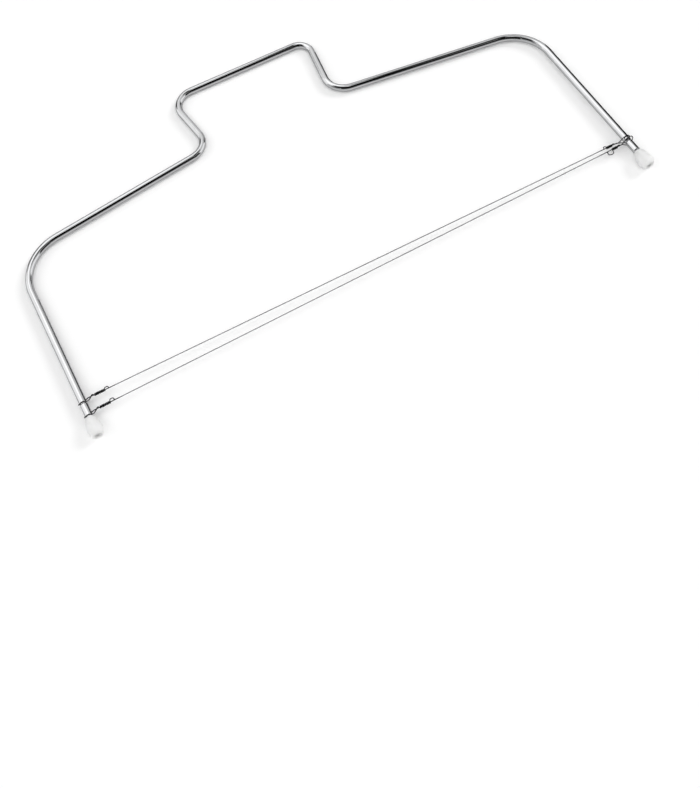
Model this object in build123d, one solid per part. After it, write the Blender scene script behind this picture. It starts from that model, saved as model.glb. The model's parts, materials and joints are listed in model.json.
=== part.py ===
from build123d import *
import os
from math import acos, asin, cos, degrees, pi, radians, sin, sqrt, tan

# A cake leveler with two cutting wires, in millimetres.
# It is drawn flat first: X runs from the left leg to the right one, Y towards the handle, Z square to the frame.
# Y = 0 is where the upper wire's line meets the legs. At the end the whole part is laid down on its feet and handle.

# Frame rod, bent by hand, so that the bends on the left and on the right differ a little
rod_diameter = 4.0
leg_spacing = 320.0
leg_height = 96.4
shoulder_rise = 16.8
neck_spacing = 76.8
handle_rise = 44.1
handle_width = 88.9
left_corner_bend_radius = 28.0
right_corner_bend_radius = 24.0
neck_bend_radius = 12.0
left_handle_bend_radius = 12.0
right_handle_bend_radius = 8.0
leg_end_chamfer = 0.4

# Ring grooves in the legs, that mark and hold the wires' places
upper_groove_drop = 2.3
groove_pitch = 8.0
groove_width = 1.2
groove_depth = 0.3
groove_cut_overrun = 0.5

# Feet, pushed over the leg ends up to just below the lower groove
foot_rim_below_groove = 0.6
foot_length = 10.6
foot_rim_diameter = 5.2
foot_diameter = 8.0
foot_end_diameter = 5.2
foot_widest_from_end = 3.4
foot_end_edge_radius = 0.6
foot_rim_edge_radius = 0.25
foot_socket_depth = 7.2
foot_socket_clearance = 0.02
foot_gate_diameter = 1.6
foot_gate_depth = 0.5

# Cutting wires
wire_diameter = 0.5
loop_clearance = 0.1
twist_clearance = 0.05
twist_pitch = 1.0
twist_lead = 1.8
first_half_turn = 1.5
kink_radius = 1.0
lower_wire_left_drop = 7.9
lower_wire_right_drop = 2.2

# Worked out from the sizes above
rod_radius = rod_diameter / 2
leg_x = leg_spacing / 2
neck_y = leg_height + shoulder_rise
handle_y = neck_y + handle_rise
upper_groove_y = -upper_groove_drop
lower_groove_y = upper_groove_y - groove_pitch
foot_rim_y = lower_groove_y - foot_rim_below_groove
foot_end_y = foot_rim_y - foot_length
foot_widest_y = foot_end_y + foot_widest_from_end
leg_end_y = foot_rim_y - foot_socket_depth
wire_radius = wire_diameter / 2
loop_radius = rod_radius + loop_clearance + wire_radius
twist_radius = wire_diameter + twist_clearance

# How each wire end lies, measured on the photograph. A wire end has its own axes: u runs from the leg's axis along
# the wire towards its middle, v towards the handle, w up from the frame.
# Shares of the rod's diameter: under and over, where the loop passes under and over the leg along v; slack, how far
# it stands off outside; start, the u where the two strands come together.
# Shares of the wire's diameter: rise, radius and run of the loose curl.
# Counts and angles: turns of the tight winding, and the degrees that the curl bends back by.
upper_left_end = dict(under_share=0.15, over_share=-0.6, slack_share=0.0, start_share=0.85, turns=5.5,
                      rise_share=0.4, radius_share=1.3, run_share=1.4, curl_sweep=160.0)
upper_right_end = dict(under_share=-0.1, over_share=0.05, slack_share=0.0, start_share=1.5, turns=3.5,
                       rise_share=0.6, radius_share=1.3, run_share=0.4, curl_sweep=170.0)
lower_left_end = dict(under_share=0.15, over_share=-0.6, slack_share=0.0, start_share=0.8, turns=5.5,
                      rise_share=0.8, radius_share=1.6, run_share=1.2, curl_sweep=180.0)
lower_right_end = dict(under_share=0.05, over_share=0.175, slack_share=0.24, start_share=1.0, turns=3.0,
                       rise_share=2.0, radius_share=2.6, run_share=1.4, curl_sweep=175.0)

# Below this sine, two directions count as one
straight_sine = 0.001
# Degrees that a groove's seam is turned from the rod's
seam_turn = 90
# Points taken on each edge when a wire's gap to itself is measured
gap_samples = 8
# Where the loop round a leg is cut into arcs, and from where on it keeps its place along the leg
loop_shares = (0.2, 0.4, 0.6, 0.8)
settled_share = 0.8


# Bent frame
def bent_line():
    """The rod's centre line, from the left leg's end over the handle to the right leg's end."""
    left_half = [(-leg_x, leg_end_y), (-leg_x, leg_height), (-neck_spacing / 2, neck_y), (-handle_width / 2, handle_y)]
    right_half = [(-x, y) for x, y in reversed(left_half)]
    bends = [left_corner_bend_radius, neck_bend_radius, left_handle_bend_radius,
             right_handle_bend_radius, neck_bend_radius, right_corner_bend_radius]
    return FilletPolyline(*left_half, *right_half, radius=bends)


def ring_groove(x, y):
    """A tool that cuts one round-bottomed groove round a leg, turned so that its seam is clear of the rod's."""
    half_width = groove_width / 2
    outside = rod_radius + groove_cut_overrun
    bottom = ThreePointArc((rod_radius, half_width), (rod_radius - groove_depth, 0), (rod_radius, -half_width))
    rest = Polyline((rod_radius, -half_width), (outside, -half_width), (outside, half_width), (rod_radius, half_width))
    return Pos(x, y, 0) * Rot(Y=seam_turn) * revolve(make_face(bottom + rest), axis=Axis.Y)


def frame_rod():
    line = bent_line()
    section = Plane(origin=line @ 0, z_dir=line % 0) * Circle(rod_radius)
    rod = sweep(section, path=line)
    ends = rod.faces().filter_by(Axis.Y).sort_by(Axis.Y)[:2]
    rod = chamfer(ends.edges(), leg_end_chamfer)
    for x in (-leg_x, leg_x):
        for y in (upper_groove_y, lower_groove_y):
            rod -= ring_groove(x, y)
    return rod


# Foot
def foot(x):
    """A cap turned about the leg's axis: rim, swelling flank, rounded nose, flat end and a small gate dimple."""
    socket_radius = rod_radius + foot_socket_clearance
    rim = (foot_rim_diameter / 2, foot_rim_y)
    widest = (foot_diameter / 2, foot_widest_y)
    end = (foot_end_diameter / 2, foot_end_y)
    gate_radius = foot_gate_diameter / 2
    gate_floor_y = foot_end_y + foot_gate_depth
    flank = TangentArc(widest, rim, tangent=(0, 1))
    nose = TangentArc(widest, end, tangent=(0, -1))
    inside = Polyline(end, (gate_radius, foot_end_y), (gate_radius, gate_floor_y), (0, gate_floor_y),
                      (0, leg_end_y), (socket_radius, leg_end_y), (socket_radius, foot_rim_y), rim)
    cap = revolve(make_face(flank + nose + inside), axis=Axis.Y)
    rim_edges = cap.edges().filter_by(GeomType.CIRCLE).group_by(Axis.Y)[-1]
    cap = fillet(rim_edges.sort_by(SortBy.RADIUS)[-1], foot_rim_edge_radius)
    end_edges = cap.edges().filter_by(GeomType.CIRCLE).group_by(Axis.Y)[0]
    cap = fillet(end_edges.sort_by(SortBy.RADIUS)[-1], foot_end_edge_radius)
    return Pos(x, 0, 0) * cap


# Wires
def bend(start, direction, finish):
    """The arc that leaves start along direction and ends at finish, or the straight run where they are in line."""
    if direction.cross((finish - start).normalized()).length < straight_sine:
        return Line(start, finish)
    return TangentArc(start, finish, tangent=direction)


def biarc(start, start_dir, finish, finish_dir):
    """Two arcs, smooth where they meet, from one point and direction to the next."""
    chord = finish - start
    both = start_dir + finish_dir
    a = both.dot(both) - 4
    b = chord.dot(both)
    c = chord.dot(chord)
    if abs(a) < straight_sine:
        reach = c / (2 * b)
    else:
        reach = (b - sqrt(b * b - a * c)) / a
    first_knee = start + start_dir * reach
    second_knee = finish - finish_dir * reach
    middle = (first_knee + second_knee) / 2
    return [bend(start, start_dir, middle), bend(middle, (second_knee - first_knee).normalized(), finish)]


def end_line(to_frame, to_frame_dir, under_share, over_share, slack_share, start_share, turns,
             rise_share, radius_share, run_share, curl_sweep):
    """The centre line of one wire end: strand, loop round the leg, winding on the strand, loose curl."""
    under_v = under_share * rod_diameter
    over_v = over_share * rod_diameter
    slack = slack_share * rod_diameter
    start_u = start_share * rod_diameter
    radius = loop_radius + slack / 2
    shift = -slack / 2
    open_half = acos(radius / (start_u - shift))
    kink = Vector(start_u, 0, 0)
    whole = 2 * pi - 2 * open_half

    def loop_stop(share):
        angle = -open_half - share * whole
        crossing = pi * min(share / settled_share, 1)
        v = under_v + (over_v - under_v) * (1 - cos(crossing)) / 2
        slope = (over_v - under_v) * sin(crossing) * pi / (2 * settled_share * whole)
        point = Vector(shift + radius * cos(angle), v, radius * sin(angle))
        return point, Vector(radius * sin(angle), slope, -radius * cos(angle)).normalized()

    # Strand, kink and loop
    leg_touch = loop_stop(0)[0]
    strand_dir = (leg_touch - kink).normalized()
    kink_turn = Vector(-1, 0, 0).get_angle(strand_dir)
    setback = kink_radius * tan(radians(kink_turn) / 2)
    stops = [(kink + Vector(setback, 0, 0), Vector(-1, 0, 0)), (kink + strand_dir * setback, strand_dir),
             (leg_touch, strand_dir)]
    stops += [loop_stop(share) for share in loop_shares]
    leave, leave_dir = loop_stop(1)
    entry = Vector(start_u + twist_lead, 0, twist_radius)
    stops.append((leave, (leave_dir + (entry - leave).normalized()).normalized()))

    # Winding: one stretched half turn, then tight ones
    half_turns = 1 + round(turns * 2)
    for step in range(half_turns + 1):
        angle = pi / 2 - step * pi
        along = entry.X + min(step, 1) * first_half_turn + max(step - 1, 0) * twist_pitch / 2
        pace = first_half_turn if step == 0 else twist_pitch / 2
        point = Vector(along, twist_radius * cos(angle), twist_radius * sin(angle))
        stops.append((point, Vector(pace / pi, twist_radius * sin(angle), -twist_radius * cos(angle)).normalized()))

    # Loose curl, towards the handle after a whole number of turns and away from it after a half
    side = 1 if half_turns % 2 == 0 else -1
    curl_radius = radius_share * wire_diameter
    leave, leave_dir = stops[-1]
    foot_of_curl = leave + leave_dir * rise_share * wire_diameter
    top = foot_of_curl + Vector(curl_radius, side * curl_radius, 0)
    top_end = top + Vector(run_share * wire_diameter, 0, 0)
    bend_back = radians(curl_sweep)
    last = top_end + Vector(curl_radius * sin(bend_back), -side * curl_radius * (1 - cos(bend_back)), 0)
    stops += [(foot_of_curl, leave_dir), (top, Vector(1, 0, 0)), (top_end, Vector(1, 0, 0)),
              (last, Vector(cos(bend_back), -side * sin(bend_back), 0))]

    edges = []
    for (start, start_dir), (finish, finish_dir) in zip(stops, stops[1:]):
        edges += biarc(to_frame(start), to_frame_dir(start_dir), to_frame(finish), to_frame_dir(finish_dir))
    return edges, stops[0][0].X


def least_gap(edges):
    """The least gap between a wire's surface and its own, on points further along it than one turn's half."""
    points, along, run = [], [], 0
    for edge in edges:
        for step in range(gap_samples):
            points.append(edge @ (step / gap_samples))
            along.append(run + edge.length * step / gap_samples)
        run += edge.length
    apart = pi * wire_diameter
    gaps = [(points[i] - points[j]).length for i in range(len(points)) for j in range(i)
            if along[i] - along[j] > apart]
    return min(gaps) - wire_diameter


def wire(name, left_y, right_y, left_end, right_end):
    """One cutting wire: its taut strand and its two wound ends, as three solids."""
    axis = Vector(leg_spacing, right_y - left_y, 0)
    along = axis.normalized()
    solids = {}
    tips = {}
    for side, root_y, lie in (("left", left_y, left_end), ("right", right_y, right_end)):
        hand = 1 if side == "left" else -1
        root = Vector(-hand * leg_x, root_y, 0)
        u_dir = along * hand
        v_dir = Vector(-along.Y, along.X, 0)

        def to_frame_dir(local, u_dir=u_dir, v_dir=v_dir):
            return u_dir * local.X + v_dir * local.Y + Vector(0, 0, local.Z)

        def to_frame(local, root=root, to_frame_dir=to_frame_dir):
            return root + to_frame_dir(local)

        edges, strand_u = end_line(to_frame, to_frame_dir, **lie)
        line = Wire(edges)
        section = Plane(origin=line @ 0, z_dir=line % 0) * Circle(wire_radius)
        solid = sweep(section, path=line)
        share = solid.volume / (pi * wire_radius ** 2 * line.length)
        print(f"{name}_{side}_end: length {line.length:.1f}, volume over section times length {share:.3f}, "
              f"least gap to itself {least_gap(edges):.2f}")
        solids[f"{name}_{side}_end"] = solid
        tips[side] = to_frame(Vector(strand_u, 0, 0))
    strand = Line(tips["left"], tips["right"])
    solids[name] = sweep(Plane(origin=strand @ 0, z_dir=strand % 0) * Circle(wire_radius), path=strand)
    return solids


# Assembly
parts = {"frame_rod": frame_rod(), "left_foot": foot(-leg_x), "right_foot": foot(leg_x)}
parts.update(wire("upper_wire", 0, 0, upper_left_end, upper_right_end))
parts.update(wire("lower_wire", -lower_wire_left_drop, -lower_wire_right_drop, lower_left_end, lower_right_end))

# Laying down: the feet are thicker than the rod, so the frame leans until the handle touches too
rest_tilt = degrees(asin((foot_diameter / 2 - rod_radius) / (handle_y - foot_widest_y)))
tilted = {name: Rot(X=-rest_tilt) * solid for name, solid in parts.items()}
boxes = [solid.bounding_box() for solid in tilted.values()]
low = Vector(min(box.min.X for box in boxes), min(box.min.Y for box in boxes), min(box.min.Z for box in boxes))
high = Vector(max(box.max.X for box in boxes), max(box.max.Y for box in boxes), max(box.max.Z for box in boxes))
size = high - low
to_rest = Pos(-(low.X + high.X) / 2, -(low.Y + high.Y) / 2, -low.Z)
print(f"rest tilt {rest_tilt:.4f} degrees, moved by {to_rest.position.X:.4f}, {to_rest.position.Y:.4f}, "
      f"{to_rest.position.Z:.4f}, box {size.X:.2f} x {size.Y:.2f} x {size.Z:.2f}")

os.makedirs("parts", exist_ok=True)
for name, solid in tilted.items():
    export_step(to_rest * solid, f"parts/{name}.step")
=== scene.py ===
import json
from math import acos, asin, cos, pi, radians, sin, sqrt

import bmesh
import bpy
from mathutils import Matrix, Vector


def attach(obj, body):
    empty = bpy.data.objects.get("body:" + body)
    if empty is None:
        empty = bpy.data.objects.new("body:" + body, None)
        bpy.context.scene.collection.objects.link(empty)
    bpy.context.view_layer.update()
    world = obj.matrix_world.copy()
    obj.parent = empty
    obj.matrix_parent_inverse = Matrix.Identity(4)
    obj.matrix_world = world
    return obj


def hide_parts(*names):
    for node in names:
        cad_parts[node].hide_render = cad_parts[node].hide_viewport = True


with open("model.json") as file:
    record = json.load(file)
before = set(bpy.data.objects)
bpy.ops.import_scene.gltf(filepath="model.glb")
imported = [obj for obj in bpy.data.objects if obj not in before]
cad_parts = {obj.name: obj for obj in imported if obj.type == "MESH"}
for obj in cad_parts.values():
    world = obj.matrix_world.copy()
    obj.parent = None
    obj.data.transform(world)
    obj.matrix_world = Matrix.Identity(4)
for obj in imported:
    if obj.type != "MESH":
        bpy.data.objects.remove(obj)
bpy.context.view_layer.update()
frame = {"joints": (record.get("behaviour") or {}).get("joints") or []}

# Frame rod
rod_diameter = 0.004
leg_spacing = 0.320
leg_height = 0.0964
shoulder_rise = 0.0168
neck_spacing = 0.0768
handle_rise = 0.0441
handle_width = 0.0889
left_corner_bend_radius = 0.028
right_corner_bend_radius = 0.024
neck_bend_radius = 0.012
left_handle_bend_radius = 0.012
right_handle_bend_radius = 0.008
rod_sides = 96
bend_step = radians(1.25)
run_step = 0.006

# Ring grooves
upper_groove_drop = 0.0023
groove_pitch = 0.008
groove_width = 0.0012
groove_depth = 0.0003
groove_rings = 12
groove_lip = 0.00004
# In groove widths from a groove's middle: where its lips stand, and from where on the rod is plain again
groove_lip_share = 0.62
groove_clear_share = 1.5

# Feet
foot_rim_below_groove = 0.0006
foot_length = 0.0106
foot_rim_diameter = 0.0052
foot_diameter = 0.008
foot_end_diameter = 0.0052
foot_widest_from_end = 0.0034
foot_end_edge_radius = 0.0006
foot_rim_edge_radius = 0.00025
foot_socket_depth = 0.0072
foot_socket_clearance = 0.00002
foot_gate_diameter = 0.0016
foot_gate_depth = 0.0005
foot_gate_edge_reach = foot_gate_diameter / 12
foot_gate_floor_reach = foot_gate_diameter / 8
foot_mouth_depth = 0.001
foot_sides = 128
foot_flank_steps = 22
foot_nose_steps = 14
foot_edge_steps = 6
witness_line_width = 0.00016
witness_line_depth = 0.00002

# Cutting wires
wire_diameter = 0.0005
loop_clearance = 0.0001
twist_clearance = 0.00004
cad_twist_pitch = 0.001
tight_pitch = 0.00062
twist_lead = 0.0018
first_half_turn = 0.0015
kink_radius = 0.001
lower_wire_left_drop = 0.0079
lower_wire_right_drop = 0.0022
wire_sides = 20
tip_rounding_share = 0.35
tip_rounding_steps = 5
strand_step = 0.01
turn_points = 32
kink_points = 6
entry_points = 18
curl_points = 14
curl_pull = 1.1
# The unevenness of hand work along a winding: how far its radius swells and its turns lag, in shares of radius and
# pitch, how fast that goes by in radians a turn, and how much the wire ends differ in where it starts
swell_share = 0.04
swell_rate = 2.3
swell_offset = 9
lag_share = 0.14
lag_rate = 1.7
lag_offset = 5

# Wire ends, in shares of the rod's and the wire's diameters. turns counts the frame's winding, which is wound tighter
# here over the same length.
upper_left_end = dict(under_share=0.15, over_share=-0.6, slack_share=0.0, start_share=0.85, turns=5.5,
                      rise_share=0.4, radius_share=1.3, run_share=1.4, curl_sweep=160.0)
upper_right_end = dict(under_share=-0.1, over_share=0.05, slack_share=0.0, start_share=1.5, turns=3.5,
                       rise_share=0.6, radius_share=1.3, run_share=0.4, curl_sweep=170.0)
lower_left_end = dict(under_share=0.15, over_share=-0.6, slack_share=0.0, start_share=0.8, turns=5.5,
                      rise_share=0.8, radius_share=1.6, run_share=1.2, curl_sweep=180.0)
lower_right_end = dict(under_share=0.05, over_share=0.175, slack_share=0.24, start_share=1.0, turns=3.0,
                       rise_share=2.0, radius_share=2.6, run_share=1.4, curl_sweep=175.0)
# From this share of the loop round a leg on, the wire keeps its place along the leg
settled_share = 0.8

# Camera, solved from the photograph together with the flat shape, in the flat frame
camera_azimuth = radians(21.8585)
camera_elevation = radians(62.5853)
camera_roll = radians(-7.2122)
camera_place = (-0.12771, -0.27023, 0.43101)
camera_lens = 45.95
camera_shift_up = 0.00076
camera_sensor = 36.0
camera_near = 0.01
camera_far = 20.0

# Worked out from the sizes above
rod_radius = rod_diameter / 2
wire_radius = wire_diameter / 2
leg_x = leg_spacing / 2
neck_y = leg_height + shoulder_rise
handle_y = neck_y + handle_rise
upper_groove_y = -upper_groove_drop
lower_groove_y = upper_groove_y - groove_pitch
foot_rim_y = lower_groove_y - foot_rim_below_groove
foot_end_y = foot_rim_y - foot_length
foot_widest_y = foot_end_y + foot_widest_from_end
leg_end_y = foot_rim_y - foot_socket_depth
loop_radius = rod_radius + loop_clearance + wire_radius
twist_radius = wire_diameter + twist_clearance

# How the flat drawing is laid down, read from the frame's hinge: it stands square to the flat frame, on the left leg
hinge = frame["joints"][0]
rest_tilt = asin(Vector(hinge["axis"]).y)
tilt = Matrix.Rotation(-rest_tilt, 4, "X")
loop_middle_share = (lower_left_end["under_share"] + lower_left_end["over_share"]) / 2
hinge_flat = Vector((-leg_x, -lower_wire_left_drop + loop_middle_share * rod_diameter, 0))
lay_down = Matrix.Translation(Vector(hinge["pos_m"]) - tilt @ hinge_flat) @ tilt

# Steel. Places are where a change starts and ends: on a noise from 0 to 1, or in metres from the part's middle.
grazing_grey = 0.6
steel_line_detail = 3.0
steel_line_depth = 0.000004
steel_bump_strength = 0.5
cloud_detail = 4.0
cloud_scale = 70.0
cloud_roughness = 0.6
cloud_places = (0.35, 0.7)
polish_places = (0.12, 0.4)
# Where the painted shade on the wire ends begins and where it is full, in metres from the part's middle
painted_shade_places = (0.1415, 0.1445)

# Plastic
milky_share = 0.5
milky_radius = (1.0, 1.0, 0.95)
milky_depth = 0.0012
clear_share = 0.12
plastic_ior = 1.5
plastic_tint = (0.98, 0.98, 0.975)
flow_tint = (0.94, 0.94, 0.935)
flow_detail = 3.0
flow_scale = 420.0
flow_swirl = 0.6
flow_places = (0.4, 0.75)
# Painted shade on the feet's ends: how dark it is at the middle, and the distances from the middle over which it
# fades
painted_tip_shade = 0.62
painted_tip_shade_places = (0.001, 0.0026)
grain_detail = 2.0
grain_scale = 5200.0
grain_places = (0.3, 0.7)
grain_depth = 0.00002
grain_bump_strength = 0.35
plastic_rough_low = 0.3
plastic_rough_high = 0.42


# Node materials
def new_material(name):
    """A material with its node tree, its shader and a helper that adds nodes."""
    material = bpy.data.materials.new(name)
    material.use_nodes = True
    nodes = material.node_tree.nodes
    shader = nodes["Principled BSDF"]

    def add(kind, **settings):
        node = nodes.new(kind)
        for key, value in settings.items():
            if hasattr(node, key):
                setattr(node, key, value)
            else:
                node.inputs[key].default_value = value
        return node

    return material, shader, add, material.node_tree.links.new


def stretched(add, link, source, along, around):
    """A surface coordinate scaled apart along and around a piece."""
    scale = add("ShaderNodeMapping")
    scale.inputs["Scale"].default_value = (along, around, 1)
    link(source, scale.inputs["Vector"])
    return scale.outputs["Vector"]


def ramp(add, link, source, places, low, high):
    """A grey that goes from low to high as source goes from the first place to the second."""
    node = add("ShaderNodeMapRange")
    node.inputs["From Min"].default_value, node.inputs["From Max"].default_value = places
    node.inputs["To Min"].default_value = low
    node.inputs["To Max"].default_value = high
    link(source, node.inputs["Value"])
    return node.outputs["Result"]


def two_tone(add, link, tint, other_tint, share):
    """A colour between two tints."""
    tone = add("ShaderNodeMix", data_type="RGBA")
    tone.inputs["A"].default_value = (*tint, 1)
    tone.inputs["B"].default_value = (*other_tint, 1)
    link(share, tone.inputs["Factor"])
    return tone.outputs["Result"]


def shaded(add, link, colour, shade):
    """A colour times a grey."""
    product = add("ShaderNodeMix", data_type="RGBA", blend_type="MULTIPLY")
    product.inputs["Factor"].default_value = 1.0
    link(colour, product.inputs["A"])
    link(shade, product.inputs["B"])
    return product.outputs["Result"]


def mirrored_place(add, link):
    """A place on the part, the same for its left and right halves."""
    place = add("ShaderNodeTexCoord").outputs["Object"]
    apart = add("ShaderNodeVectorMath", operation="ABSOLUTE")
    link(place, apart.inputs[0])
    return place, apart.outputs["Vector"]


def add_bump(add, link, shader, height, strength, depth):
    """Gives a shader a bump of some depth in metres."""
    bump = add("ShaderNodeBump")
    bump.inputs["Strength"].default_value = strength
    bump.inputs["Distance"].default_value = depth
    link(height, bump.inputs["Height"])
    link(bump.outputs["Normal"], shader.inputs["Normal"])


def steel_material(name, tint, deep_tint, rough_low, rough_high, along, around, painted_end_shade=1.0):
    """Drawn steel: fine lines along the piece, soft cloudy polish marks, a faint change of tone and painted shade
    that darkens the wire ends.

    along and around are how often the lines change in a metre along and round the piece.
    """
    material, shader, add, link = new_material(name)
    shader.inputs["Metallic"].default_value = 1.0
    shader.inputs["Specular Tint"].default_value = (grazing_grey, grazing_grey, grazing_grey, 1)
    surface = add("ShaderNodeUVMap", uv_map="along").outputs["UV"]
    place, mirrored = mirrored_place(add, link)
    lines = add("ShaderNodeTexNoise", Detail=steel_line_detail, Scale=1.0)
    link(stretched(add, link, surface, along, around), lines.inputs["Vector"])
    clouds = add("ShaderNodeTexNoise", Detail=cloud_detail, Scale=cloud_scale, Roughness=cloud_roughness)
    link(place, clouds.inputs["Vector"])
    tone = two_tone(add, link, tint, deep_tint, ramp(add, link, clouds.outputs["Fac"], cloud_places, 0, 1))
    across = add("ShaderNodeSeparateXYZ")
    link(mirrored, across.inputs["Vector"])
    # Painted shade: the colour darkens outwards of these places, standing in for the shade in the wire ends' windings
    # and curls
    painted_end_shade_ramp = ramp(add, link, across.outputs["X"], painted_shade_places, 1.0, painted_end_shade)
    link(shaded(add, link, tone, painted_end_shade_ramp), shader.inputs["Base Color"])
    both = add("ShaderNodeMath", operation="MULTIPLY")
    link(lines.outputs["Fac"], both.inputs[0])
    link(clouds.outputs["Fac"], both.inputs[1])
    link(ramp(add, link, both.outputs["Value"], polish_places, rough_low, rough_high), shader.inputs["Roughness"])
    add_bump(add, link, shader, lines.outputs["Fac"], steel_bump_strength, steel_line_depth)
    return material


def plastic_material(name):
    """Milky moulded plastic: a soft sheen, faint flow marks, a very fine grain and painted shade on the middle of
    each foot's end.
    """
    material, shader, add, link = new_material(name)
    shader.inputs["Subsurface Weight"].default_value = milky_share
    shader.inputs["Subsurface Radius"].default_value = milky_radius
    shader.inputs["Subsurface Scale"].default_value = milky_depth
    shader.inputs["Transmission Weight"].default_value = clear_share
    shader.inputs["IOR"].default_value = plastic_ior
    place, mirrored = mirrored_place(add, link)
    flow = add("ShaderNodeTexNoise", Detail=flow_detail, Scale=flow_scale, Distortion=flow_swirl)
    link(place, flow.inputs["Vector"])
    grain = add("ShaderNodeTexNoise", Detail=grain_detail, Scale=grain_scale)
    link(place, grain.inputs["Vector"])
    tone = two_tone(add, link, plastic_tint, flow_tint, ramp(add, link, flow.outputs["Fac"], flow_places, 0, 1))
    # Painted shade: each foot's end face darkens towards its middle, standing in for the shade on the end and the
    # shadow under it
    from_gate = add("ShaderNodeVectorMath", operation="DISTANCE")
    link(mirrored, from_gate.inputs[0])
    from_gate.inputs[1].default_value = [abs(value) for value in lay_down @ Vector((leg_x, foot_end_y, 0))]
    painted_tip_shadow = ramp(add, link, from_gate.outputs["Value"], painted_tip_shade_places, painted_tip_shade, 1.0)
    link(shaded(add, link, tone, painted_tip_shadow), shader.inputs["Base Color"])
    rough = ramp(add, link, grain.outputs["Fac"], grain_places, plastic_rough_low, plastic_rough_high)
    link(rough, shader.inputs["Roughness"])
    add_bump(add, link, shader, grain.outputs["Fac"], grain_bump_strength, grain_depth)
    return material


# Meshes
def ringed_mesh(name, rings):
    """A smooth closed mesh through rings of equally many points, with a map of the way along and round it."""
    mesh = bpy.data.meshes.new(name)
    shape = bmesh.new()
    uv = shape.loops.layers.uv.new("along")
    sides = len(rings[0])
    rows = [[shape.verts.new(point) for point in ring] for ring in rings]
    way = [0.0]
    for before, after in zip(rings, rings[1:]):
        way.append(way[-1] + (sum(after, Vector()) - sum(before, Vector())).length / sides)
    for row, (before, after) in enumerate(zip(rows, rows[1:])):
        girth = sum((rings[row][i] - rings[row][i - 1]).length for i in range(sides))
        for side in range(sides):
            step = (side + 1) % sides
            face = shape.faces.new((before[side], before[step], after[step], after[side]))
            face.smooth = True
            corners = ((row, side), (row, side + 1), (row + 1, side + 1), (row + 1, side))
            for loop, (at, around) in zip(face.loops, corners):
                loop[uv].uv = (way[at], girth * around / sides)
    for end in (rows[0][::-1], rows[-1]):
        shape.faces.new(end).smooth = True
    bmesh.ops.recalc_face_normals(shape, faces=shape.faces)
    shape.to_mesh(mesh)
    shape.free()
    return mesh


def tube_rings(points, radii, sides, start_normal):
    """Rings of a tube along points, turned as little as the way allows."""
    rings = []
    normal = start_normal.normalized()
    angles = [2 * pi * side / sides for side in range(sides)]
    for place, point in enumerate(points):
        behind = points[max(place - 1, 0)]
        ahead = points[min(place + 1, len(points) - 1)]
        direction = (ahead - behind).normalized()
        normal = (normal - direction * normal.dot(direction)).normalized()
        other = direction.cross(normal)
        rings.append([point + (normal * cos(a) + other * sin(a)) * radii[place] for a in angles])
    return rings


def rounded_ends(points, radii):
    """Points and radii with a small rounding in place of both ends of a tube."""
    def end(tip, inner, radius):
        out = (tip - inner).normalized()
        reach = radius * tip_rounding_share
        angles = [pi / 2 * step / tip_rounding_steps for step in range(1, tip_rounding_steps + 1)]
        return [(tip + out * reach * (sin(a) - 1), radius - reach * (1 - cos(a))) for a in angles]

    first = end(points[0], points[1], radii[0])[::-1]
    last = end(points[-1], points[-2], radii[-1])
    both = first + list(zip(points, radii))[1:-1] + last
    return [point for point, _ in both], [radius for _, radius in both]


def new_piece(name, mesh, material, body, slot, *nodes):
    """A piece that stands for frame nodes, laid down with the rest and riding on its body."""
    mesh.transform(lay_down)
    mesh.materials.append(material)
    piece = bpy.data.objects.new(name, mesh)
    bpy.context.scene.collection.objects.link(piece)
    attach(piece, body)
    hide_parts(*nodes)


# Frame rod
def bent_points(corners, radii):
    """Points along straight runs joined by round bends."""
    line = [Vector(corners[0])]

    def run_to(point):
        start = line[-1]
        count = max(1, round((point - start).length / run_step))
        line.extend(start.lerp(point, step / count) for step in range(1, count + 1))

    for before, corner, after, radius in zip(corners, corners[1:], corners[2:], radii):
        come = (Vector(corner) - Vector(before)).normalized()
        go = (Vector(after) - Vector(corner)).normalized()
        turn = come.angle(go)
        setback = radius * sin(turn / 2) / cos(turn / 2)
        start = Vector(corner) - come * setback
        inward = (go - come * go.dot(come)).normalized()
        run_to(start)
        steps = max(2, round(turn / bend_step))
        for step in range(1, steps + 1):
            a = turn * step / steps
            line.append(start + come * radius * sin(a) + inward * radius * (1 - cos(a)))
    run_to(Vector(corners[-1]))
    return line


def groove_profile():
    """Offsets along a leg and the rod's radius there, across one round-bottomed groove with faint raised lips."""
    tool_radius = ((groove_width / 2) ** 2 + groove_depth ** 2) / (2 * groove_depth)
    lip = groove_width * groove_lip_share
    profile = [(-groove_width, rod_radius), (-lip, rod_radius + groove_lip)]
    for step in range(groove_rings + 1):
        offset = groove_width * (step / groove_rings - 0.5)
        profile.append((offset, rod_radius - (sqrt(tool_radius ** 2 - offset ** 2) - tool_radius + groove_depth)))
    profile += [(lip, rod_radius + groove_lip), (groove_width, rod_radius)]
    return profile


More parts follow.
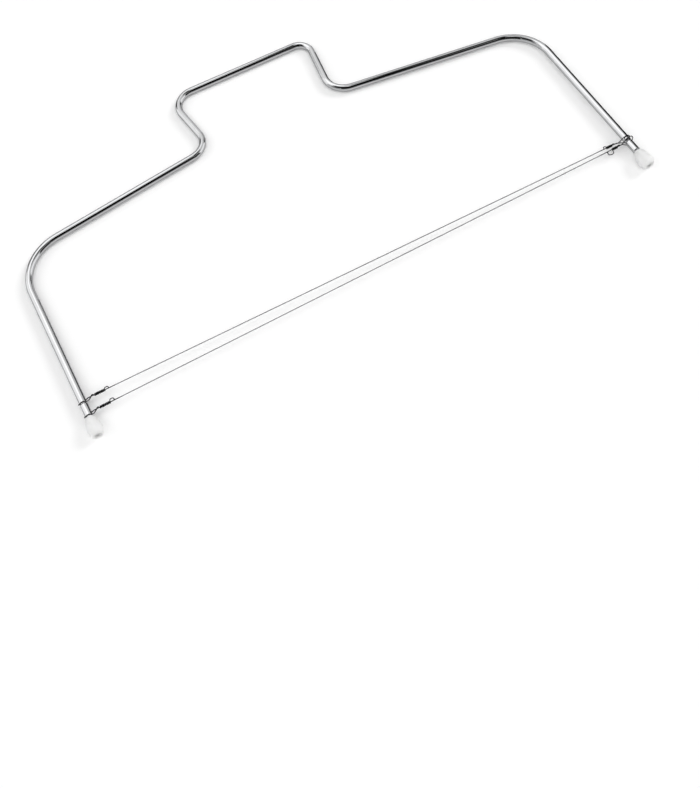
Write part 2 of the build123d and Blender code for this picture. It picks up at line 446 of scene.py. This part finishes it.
def rod_mesh():
    """The rod from leg end to leg end, with finer rings across the grooves."""
    left = [(-leg_x, leg_end_y, 0), (-leg_x, leg_height, 0), (-neck_spacing / 2, neck_y, 0),
            (-handle_width / 2, handle_y, 0)]
    right = [(-x, y, z) for x, y, z in reversed(left)]
    bends = [left_corner_bend_radius, neck_bend_radius, left_handle_bend_radius,
             right_handle_bend_radius, neck_bend_radius, right_corner_bend_radius]
    line = bent_points(left + right, bends)
    grooves = [(y + offset, radius) for y in (upper_groove_y, lower_groove_y) for offset, radius in groove_profile()]
    clear_of_grooves = upper_groove_y + groove_width * groove_clear_share
    middle = [point for point in line if point.y > clear_of_grooves]
    leg = sorted(grooves + [(leg_end_y, rod_radius)])
    rings = [(Vector((-leg_x, y, 0)), radius) for y, radius in leg]
    rings += [(point, rod_radius) for point in middle]
    rings += [(Vector((leg_x, y, 0)), radius) for y, radius in reversed(leg)]
    points, radii = zip(*rings)
    return ringed_mesh("frame_rod_skin", tube_rings(points, radii, rod_sides, Vector((0, 0, 1))))


# Feet
def arc_profile(start, finish, steps):
    """Points of the arc that leaves start square to the radius direction and ends at finish, in (radius, y)."""
    drop = start[0] - finish[0]
    rise = abs(finish[1] - start[1])
    side = 1 if finish[1] > start[1] else -1
    radius = (drop ** 2 + rise ** 2) / (2 * drop)
    sweep = asin(rise / radius)
    angles = [sweep * step / steps for step in range(steps + 1)]
    return [(start[0] - radius * (1 - cos(a)), start[1] + side * radius * sin(a)) for a in angles]


def eased(profile, corner, reach):
    """The profile with one of its corners rounded off within reach."""
    at = min(range(len(profile)), key=lambda i: (Vector(profile[i]) - Vector(corner)).length)
    tip = Vector(profile[at])
    before = [p for p in profile[:at] if (Vector(p) - tip).length > reach]
    after = [p for p in profile[at + 1:] if (Vector(p) - tip).length > reach]
    start = tip + (Vector(profile[at - 1]) - tip).normalized() * reach
    finish = tip + (Vector(profile[at + 1]) - tip).normalized() * reach
    bend = [start * (1 - t) ** 2 + tip * 2 * t * (1 - t) + finish * t ** 2
            for t in [step / foot_edge_steps for step in range(foot_edge_steps + 1)]]
    return before + [tuple(p) for p in bend] + after


def foot_profile():
    """The cap's section from the socket's mouth over the flank and the nose to the gate dimple's middle."""
    rim = (foot_rim_diameter / 2, foot_rim_y)
    widest = (foot_diameter / 2, foot_widest_y)
    end = (foot_end_diameter / 2, foot_end_y)
    gate = (foot_gate_diameter / 2, foot_end_y)
    gate_floor = (foot_gate_diameter / 2, foot_end_y + foot_gate_depth)
    socket_radius = rod_radius + foot_socket_clearance
    profile = [(socket_radius, foot_rim_y - foot_mouth_depth), (socket_radius, foot_rim_y)]
    profile += arc_profile(widest, rim, foot_flank_steps)[::-1]
    profile += arc_profile(widest, end, foot_nose_steps)[1:]
    profile += [gate, gate_floor, (foot_gate_floor_reach, foot_end_y + foot_gate_depth)]
    profile = eased(profile, rim, foot_rim_edge_radius)
    profile = eased(profile, end, foot_end_edge_radius)
    profile = eased(profile, gate, foot_gate_edge_reach)
    return eased(profile, gate_floor, foot_gate_floor_reach)


def foot_mesh(name, x):
    """A cap turned about its leg's axis, with a shallow witness line where it is widest."""
    profile = []
    for radius, y in foot_profile():
        off = abs(y - foot_widest_y) / witness_line_width
        profile.append((radius - witness_line_depth * max(0, 1 - off), y))
    angles = [2 * pi * side / foot_sides for side in range(foot_sides)]
    rings = [[Vector((x + radius * cos(a), y, radius * sin(a))) for a in angles] for radius, y in profile]
    return ringed_mesh(name, rings)


# Wires
def eased_way(start, start_dir, finish, finish_dir, steps):
    """Points of a smooth way between two places and directions, without its start."""
    pull = (finish - start).length
    way = []
    for step in range(1, steps + 1):
        t = step / steps
        way.append(start * (2 * t ** 3 - 3 * t ** 2 + 1) + finish * (3 * t ** 2 - 2 * t ** 3)
                   + (start_dir * (t ** 3 - 2 * t ** 2 + t) + finish_dir * (t ** 3 - t ** 2)) * pull)
    return way


def end_points(under_share, over_share, slack_share, start_share, turns,
               rise_share, radius_share, run_share, curl_sweep):
    """A wire end's centre line: u from the leg along the strand, v towards the handle, w up."""
    under_v = under_share * rod_diameter
    over_v = over_share * rod_diameter
    slack = slack_share * rod_diameter
    start_u = start_share * rod_diameter
    radius = loop_radius + slack / 2
    shift = -slack / 2
    open_half = acos(radius / (start_u - shift))
    whole = 2 * pi - 2 * open_half

    def loop_stop(share):
        angle = -open_half - share * whole
        crossing = pi * min(share / settled_share, 1)
        v = under_v + (over_v - under_v) * (1 - cos(crossing)) / 2
        slope = (over_v - under_v) * sin(crossing) * pi / (2 * settled_share * whole)
        point = Vector((shift + radius * cos(angle), v, radius * sin(angle)))
        return point, Vector((radius * sin(angle), slope, -radius * cos(angle))).normalized()

    # Strand, kink and loop round the leg
    kink = Vector((start_u, 0, 0))
    touch = loop_stop(0)[0]
    strand_dir = (touch - kink).normalized()
    setback = kink_radius * sin(strand_dir.angle(Vector((-1, 0, 0))) / 2)
    points = [kink + Vector((setback, 0, 0))]
    points += eased_way(points[0], Vector((-1, 0, 0)), kink + strand_dir * setback, strand_dir, kink_points)
    points.append(points[-1].lerp(touch, 0.5))
    points.append(touch)
    loop_steps = 2 * turn_points
    points += [loop_stop(step / loop_steps)[0] for step in range(1, loop_steps + 1)]
    leave, leave_dir = loop_stop(1)

    # Winding on the strand: one stretched half turn, then tight turns, a little uneven as hand work is
    entry_u = start_u + twist_lead
    whole_turns = turns * cad_twist_pitch / tight_pitch
    tight_turns = round(whole_turns - turns % 1) + turns % 1
    pitch = turns * cad_twist_pitch / tight_turns
    first_steps = turn_points // 2
    steps = first_steps + round(tight_turns * turn_points)

    def wound(step):
        angle = pi / 2 - 2 * pi * step / turn_points
        tight_step = max(step - first_steps, 0)
        loose = twist_radius * (1 + swell_share * sin(swell_rate * step / turn_points + start_share * swell_offset))
        fade = sin(pi * tight_step / (steps - first_steps))
        lag = lag_share * pitch * sin(lag_rate * step / turn_points + start_share * lag_offset) * fade
        u = entry_u + first_half_turn * min(step / first_steps, 1) + tight_step * pitch / turn_points + lag
        return Vector((u, loose * cos(angle), loose * sin(angle)))

    entry_dir = (wound(1) - wound(0)).normalized()
    points += eased_way(leave, leave_dir, wound(0), entry_dir, entry_points)
    points += [wound(step) for step in range(1, steps + 1)]

    # Loose curl, towards the handle after whole turns and away from it after a half
    side = 1 if round(turns * 2 + 1) % 2 == 0 else -1
    last = points[-1]
    last_dir = (wound(steps) - wound(steps - 1)).normalized()
    curl_radius = radius_share * wire_diameter
    foot_of_curl = last + last_dir * rise_share * wire_diameter
    centre = foot_of_curl + Vector((curl_radius, 0, 0))
    top = centre + Vector((0, side * curl_radius, 0))
    top_end = top + Vector((run_share * wire_diameter, 0, 0))
    points.append(foot_of_curl)
    points += eased_way(foot_of_curl, last_dir * curl_pull, top, Vector((curl_pull, 0, 0)), curl_points)
    points.append(top_end)
    for step in range(1, curl_points + 1):
        a = radians(curl_sweep) * step / curl_points
        points.append(top_end + Vector((curl_radius * sin(a), -side * curl_radius * (1 - cos(a)), 0)))
    return points


def wire_mesh(name, left_y, right_y, left_end, right_end):
    """One whole wire: curl, winding and loop, the taut strand, and the same at the other leg."""
    along = Vector((leg_spacing, right_y - left_y, 0)).normalized()
    v_dir = Vector((-along.y, along.x, 0))
    ends = []
    for hand, root_y, lie in ((1, left_y, left_end), (-1, right_y, right_end)):
        root = Vector((-hand * leg_x, root_y, 0))
        ends.append([root + along * hand * p.x + v_dir * p.y + Vector((0, 0, p.z)) for p in end_points(**lie)])
    left, right = ends
    count = round((right[0] - left[0]).length / strand_step)
    strand = [left[0].lerp(right[0], step / count) for step in range(1, count)]
    points, radii = rounded_ends(left[::-1] + strand + right, [wire_radius] * (len(left) + len(strand) + len(right)))
    return ringed_mesh(name, tube_rings(points, radii, wire_sides, Vector((0, 0, 1))))


rod_steel = steel_material("polished_rod_steel", tint=(0.51, 0.513, 0.52), deep_tint=(0.46, 0.463, 0.47),
                           rough_low=0.04, rough_high=0.1, along=60, around=9000)
wire_steel = steel_material("drawn_wire_steel", tint=(0.36, 0.362, 0.366), deep_tint=(0.28, 0.282, 0.285),
                            rough_low=0.2, rough_high=0.34, along=400, around=12000, painted_end_shade=0.12)
foot_plastic = plastic_material("milky_foot_plastic")

new_piece("frame_rod_skin", rod_mesh(), rod_steel, "frame", "polished_steel", "frame_rod")
for side_name, x in (("left", -leg_x), ("right", leg_x)):
    new_piece(f"{side_name}_foot_skin", foot_mesh(f"{side_name}_foot_skin", x), foot_plastic,
              "frame", "white_plastic", f"{side_name}_foot")
new_piece("upper_wire_skin", wire_mesh("upper_wire_skin", 0, 0, upper_left_end, upper_right_end), wire_steel,
          "frame", "steel_wire", "upper_wire", "upper_wire_left_end", "upper_wire_right_end")
new_piece("lower_wire_skin", wire_mesh("lower_wire_skin", -lower_wire_left_drop, -lower_wire_right_drop,
                                       lower_left_end, lower_right_end), wire_steel,
          "lower_wire", "steel_wire", "lower_wire", "lower_wire_left_end", "lower_wire_right_end")


# Stage
def stage_plane(name, corners, material):
    """A flat sheet through four corners that isn't part of the leveler."""
    mesh = bpy.data.meshes.new(name)
    mesh.from_pydata([Vector(corner) for corner in corners], [], [range(len(corners))])
    mesh.materials.append(material)
    sheet = bpy.data.objects.new(name, mesh)
    bpy.context.scene.collection.objects.link(sheet)
    return sheet


def reflected_only(sheet):
    """Seen in polished surfaces alone: it takes no light away and casts no shadow."""
    sheet.visible_camera = False
    sheet.visible_diffuse = False
    sheet.visible_transmission = False
    sheet.visible_volume_scatter = False
    sheet.visible_shadow = False


# Floor: pale paper that glows a little where the camera sees it, so that it is white there and keeps its shadows
floor_lift = 0.1
floor_albedo = 0.93
floor_reach = 3.0
floor_paper = bpy.data.materials.new("floor_paper")
floor_paper.use_nodes = True
floor_nodes = floor_paper.node_tree.nodes
floor_link = floor_paper.node_tree.links.new
floor_nodes.remove(floor_nodes["Principled BSDF"])
paper = floor_nodes.new("ShaderNodeBsdfDiffuse")
paper.inputs["Color"].default_value = (floor_albedo, floor_albedo, floor_albedo, 1)
glow = floor_nodes.new("ShaderNodeEmission")
light_path = floor_nodes.new("ShaderNodeLightPath")
lift = floor_nodes.new("ShaderNodeMath")
lift.operation = "MULTIPLY"
lift.inputs[1].default_value = floor_lift
floor_link(light_path.outputs["Is Camera Ray"], lift.inputs[0])
floor_link(lift.outputs["Value"], glow.inputs["Strength"])
floor_sum = floor_nodes.new("ShaderNodeAddShader")
floor_link(paper.outputs["BSDF"], floor_sum.inputs[0])
floor_link(glow.outputs["Emission"], floor_sum.inputs[1])
floor_link(floor_sum.outputs["Shader"], floor_nodes["Material Output"].inputs["Surface"])
stage_plane("floor", [(-floor_reach, -floor_reach, 0), (floor_reach, -floor_reach, 0),
                      (floor_reach, floor_reach, 0), (-floor_reach, floor_reach, 0)], floor_paper)

# The studio round the leveler, that only its polished steel shows: a dark ceiling behind the camera, grey walls on
# the left and in front, a bright sheet behind the handle, a bright wall on the right and two dark posts. Each panel
# has its least and most azimuth from +X and height above the floor in degrees, and how bright it is.
studio_radius = 2.0
panel_step = 6.0
studio_panels = [
    ("zenith", -90, 135, 75, 88, 1.1), ("zenith_left", -225, -90, 75, 88, 0.15),
    ("ceiling", -225, -12, 62, 75, 0.0), ("ceiling_front", -135, -62, 28, 62, 0.0),
    ("ceiling_left", -180, -135, 36, 62, 0.03), ("front_wall", -135, -62, 11, 28, 0.12),
    ("front_wall_foot", -140, -62, 1, 11, 0.25), ("left_wall", -180, -140, 1, 20, 0.65),
    ("left_wall_top", -180, -140, 20, 36, 0.22), ("left_wall_back", 160, 180, 1, 40, 0.85),
    ("right_corner", -62, -33, 1, 40, 0.03), ("right_corner_top", -62, -33, 40, 62, 0.25),
    ("right_ceiling", -33, -8, 40, 62, 0.45), ("right_wall_foot", -33, 14, 1, 40, 1.6),
    ("right_post", 14, 30, 1, 30, 0.0), ("right_edge", 30, 48, 1, 20, 0.5),
    ("right_edge_top", 30, 48, 20, 30, 1.0), ("right_wall", 14, 48, 30, 60, 1.0),
    ("right_wall_front", -8, 14, 40, 60, 0.8), ("right_wall_top", -12, 52, 60, 75, 0.15),
    ("sheet_edge", 48, 66, 28, 60, 1.1), ("bright_sheet", 66, 160, 47, 75, 2.1),
    ("sheet_foot", 66, 124, 28, 47, 1.35), ("sheet_left", 124, 160, 28, 47, 1.6),
    ("back_wall_foot", 58, 103, 1, 28, 0.55), ("back_post", 103, 119, 1, 28, 0.0),
    ("back_wall_middle", 119, 124, 1, 28, 0.8), ("back_wall_left", 124, 160, 1, 28, 1.7),
]


def studio_panel(name, azimuth_from, azimuth_to, height_from, height_to, strength):
    """One curved panel of the studio's shell."""
    columns = max(1, round((azimuth_to - azimuth_from) / panel_step))
    rows = max(1, round((height_to - height_from) / panel_step))
    places = []
    for row in range(rows + 1):
        height = radians(height_from + (height_to - height_from) * row / rows)
        for column in range(columns + 1):
            azimuth = radians(azimuth_from + (azimuth_to - azimuth_from) * column / columns)
            outward = Vector((cos(height) * cos(azimuth), cos(height) * sin(azimuth), sin(height)))
            places.append(studio_radius * outward)
    faces = []
    for row in range(rows):
        for column in range(columns):
            first = row * (columns + 1) + column
            faces.append((first, first + 1, first + columns + 2, first + columns + 1))
    paint = bpy.data.materials.new(name)
    paint.use_nodes = True
    nodes = paint.node_tree.nodes
    nodes.remove(nodes["Principled BSDF"])
    light = nodes.new("ShaderNodeEmission")
    light.inputs["Strength"].default_value = strength
    paint.node_tree.links.new(light.outputs["Emission"], nodes["Material Output"].inputs["Surface"])
    mesh = bpy.data.meshes.new(name)
    mesh.from_pydata(places, [], faces)
    mesh.materials.append(paint)
    panel = bpy.data.objects.new(name, mesh)
    bpy.context.scene.collection.objects.link(panel)
    reflected_only(panel)


for panel in studio_panels:
    studio_panel(*panel)

dark_grey = 0.004
dark = bpy.data.materials.new("dark_card")
dark.use_nodes = True
dark_shader = dark.node_tree.nodes["Principled BSDF"]
dark_shader.inputs["Base Color"].default_value = (dark_grey, dark_grey, dark_grey, 1)
dark_shader.inputs["Roughness"].default_value = 1.0
dark_shader.inputs["Specular IOR Level"].default_value = 0.0

# Low dark cards beside the legs and the right neck, seen only in the steel: a painted reflection of the shaded floor
# beside the rod. Each goes from one place along it to another at its own heights
floor_shade_card_gap = 0.006
floor_shade_cards = [("left_leg_floor_shade_card", (-leg_x, foot_rim_y, 0.0022), (-leg_x, 0.07, 0.0003)),
         ("right_leg_floor_shade_card", (leg_x, foot_rim_y, 0.0085), (leg_x, 0.085, 0.0085)),
         ("right_neck_floor_shade_card", (neck_spacing / 2, 0.122, 0.003), (handle_width / 2, 0.15, 0.003))]
for card_name, (x0, y0, height0), (x1, y1, height1) in floor_shade_cards:
    reflected_only(stage_plane(card_name, [
        lay_down @ Vector((x0 + floor_shade_card_gap, y0, -rod_radius)), lay_down @ Vector((x1 + floor_shade_card_gap, y1, -rod_radius)),
        lay_down @ Vector((x1 + floor_shade_card_gap, y1, height1)), lay_down @ Vector((x0 + floor_shade_card_gap, y0, height0))], dark))

# World: white where it is seen or mirrored, a plain level where it lights
world_level = 0.36
world = bpy.data.worlds.new("studio")
bpy.context.scene.world = world
world.use_nodes = True
world_nodes = world.node_tree.nodes
world_link = world.node_tree.links.new
sky = world_nodes["Background"]
sky.inputs["Color"].default_value = (1, 1, 1, 1)
path = world_nodes.new("ShaderNodeLightPath")
shown = path.outputs["Is Camera Ray"]
for ray in ("Is Glossy Ray", "Is Transmission Ray"):
    either = world_nodes.new("ShaderNodeMath")
    either.operation = "MAXIMUM"
    world_link(shown, either.inputs[0])
    world_link(path.outputs[ray], either.inputs[1])
    shown = either.outputs["Value"]
level = world_nodes.new("ShaderNodeMapRange")
level.inputs["To Min"].default_value = world_level
level.inputs["To Max"].default_value = 1.0
world_link(shown, level.inputs["Value"])
world_link(level.outputs["Result"], sky.inputs["Strength"])

# Soft even lights: a low key on the right, a weaker fill on the upper left and a wide, stronger one in front. Each
# has the way towards it, its spread in degrees and its share of the plain level on the floor.
soft_lights = [("key_light", (1.5, 0.2, 1.0), 24.0, 0.18), ("fill_light", (-1.2, 0.35, 1.0), 40.0, 0.12),
               ("front_light", (-0.15, -0.55, 1.0), 70.0, 0.34)]


def soft_light(name, toward, spread, share):
    """A wide, even light that adds its share of the plain level to the floor."""
    toward = Vector(toward).normalized()
    data = bpy.data.lights.new(name, "SUN")
    data.angle = radians(spread)
    data.energy = share * pi / toward.z
    lamp = bpy.data.objects.new(name, data)
    bpy.context.scene.collection.objects.link(lamp)
    lamp.rotation_mode = "QUATERNION"
    lamp.rotation_quaternion = toward.to_track_quat("Z", "Y")
    lamp.visible_glossy = False


for soft in soft_lights:
    soft_light(*soft)

# Camera
ahead = Vector((sin(camera_azimuth) * cos(camera_elevation), cos(camera_azimuth) * cos(camera_elevation),
                -sin(camera_elevation)))
level_right = Vector((cos(camera_azimuth), -sin(camera_azimuth), 0))
level_up = level_right.cross(ahead)
camera_right = level_right * cos(camera_roll) + level_up * sin(camera_roll)
camera_up = level_up * cos(camera_roll) - level_right * sin(camera_roll)
camera_axes = Matrix((camera_right, camera_up, -ahead)).transposed().to_4x4()
camera_data = bpy.data.cameras.new("photo_camera")
camera_data.lens = camera_lens
camera_data.sensor_width = camera_sensor
camera_data.shift_y = camera_shift_up
camera_data.clip_start = camera_near
camera_data.clip_end = camera_far
camera = bpy.data.objects.new("photo_camera", camera_data)
bpy.context.scene.collection.objects.link(camera)
camera.matrix_world = lay_down @ Matrix.Translation(camera_place) @ camera_axes
bpy.context.scene.camera = camera

bpy.context.scene.view_settings.view_transform = "Standard"
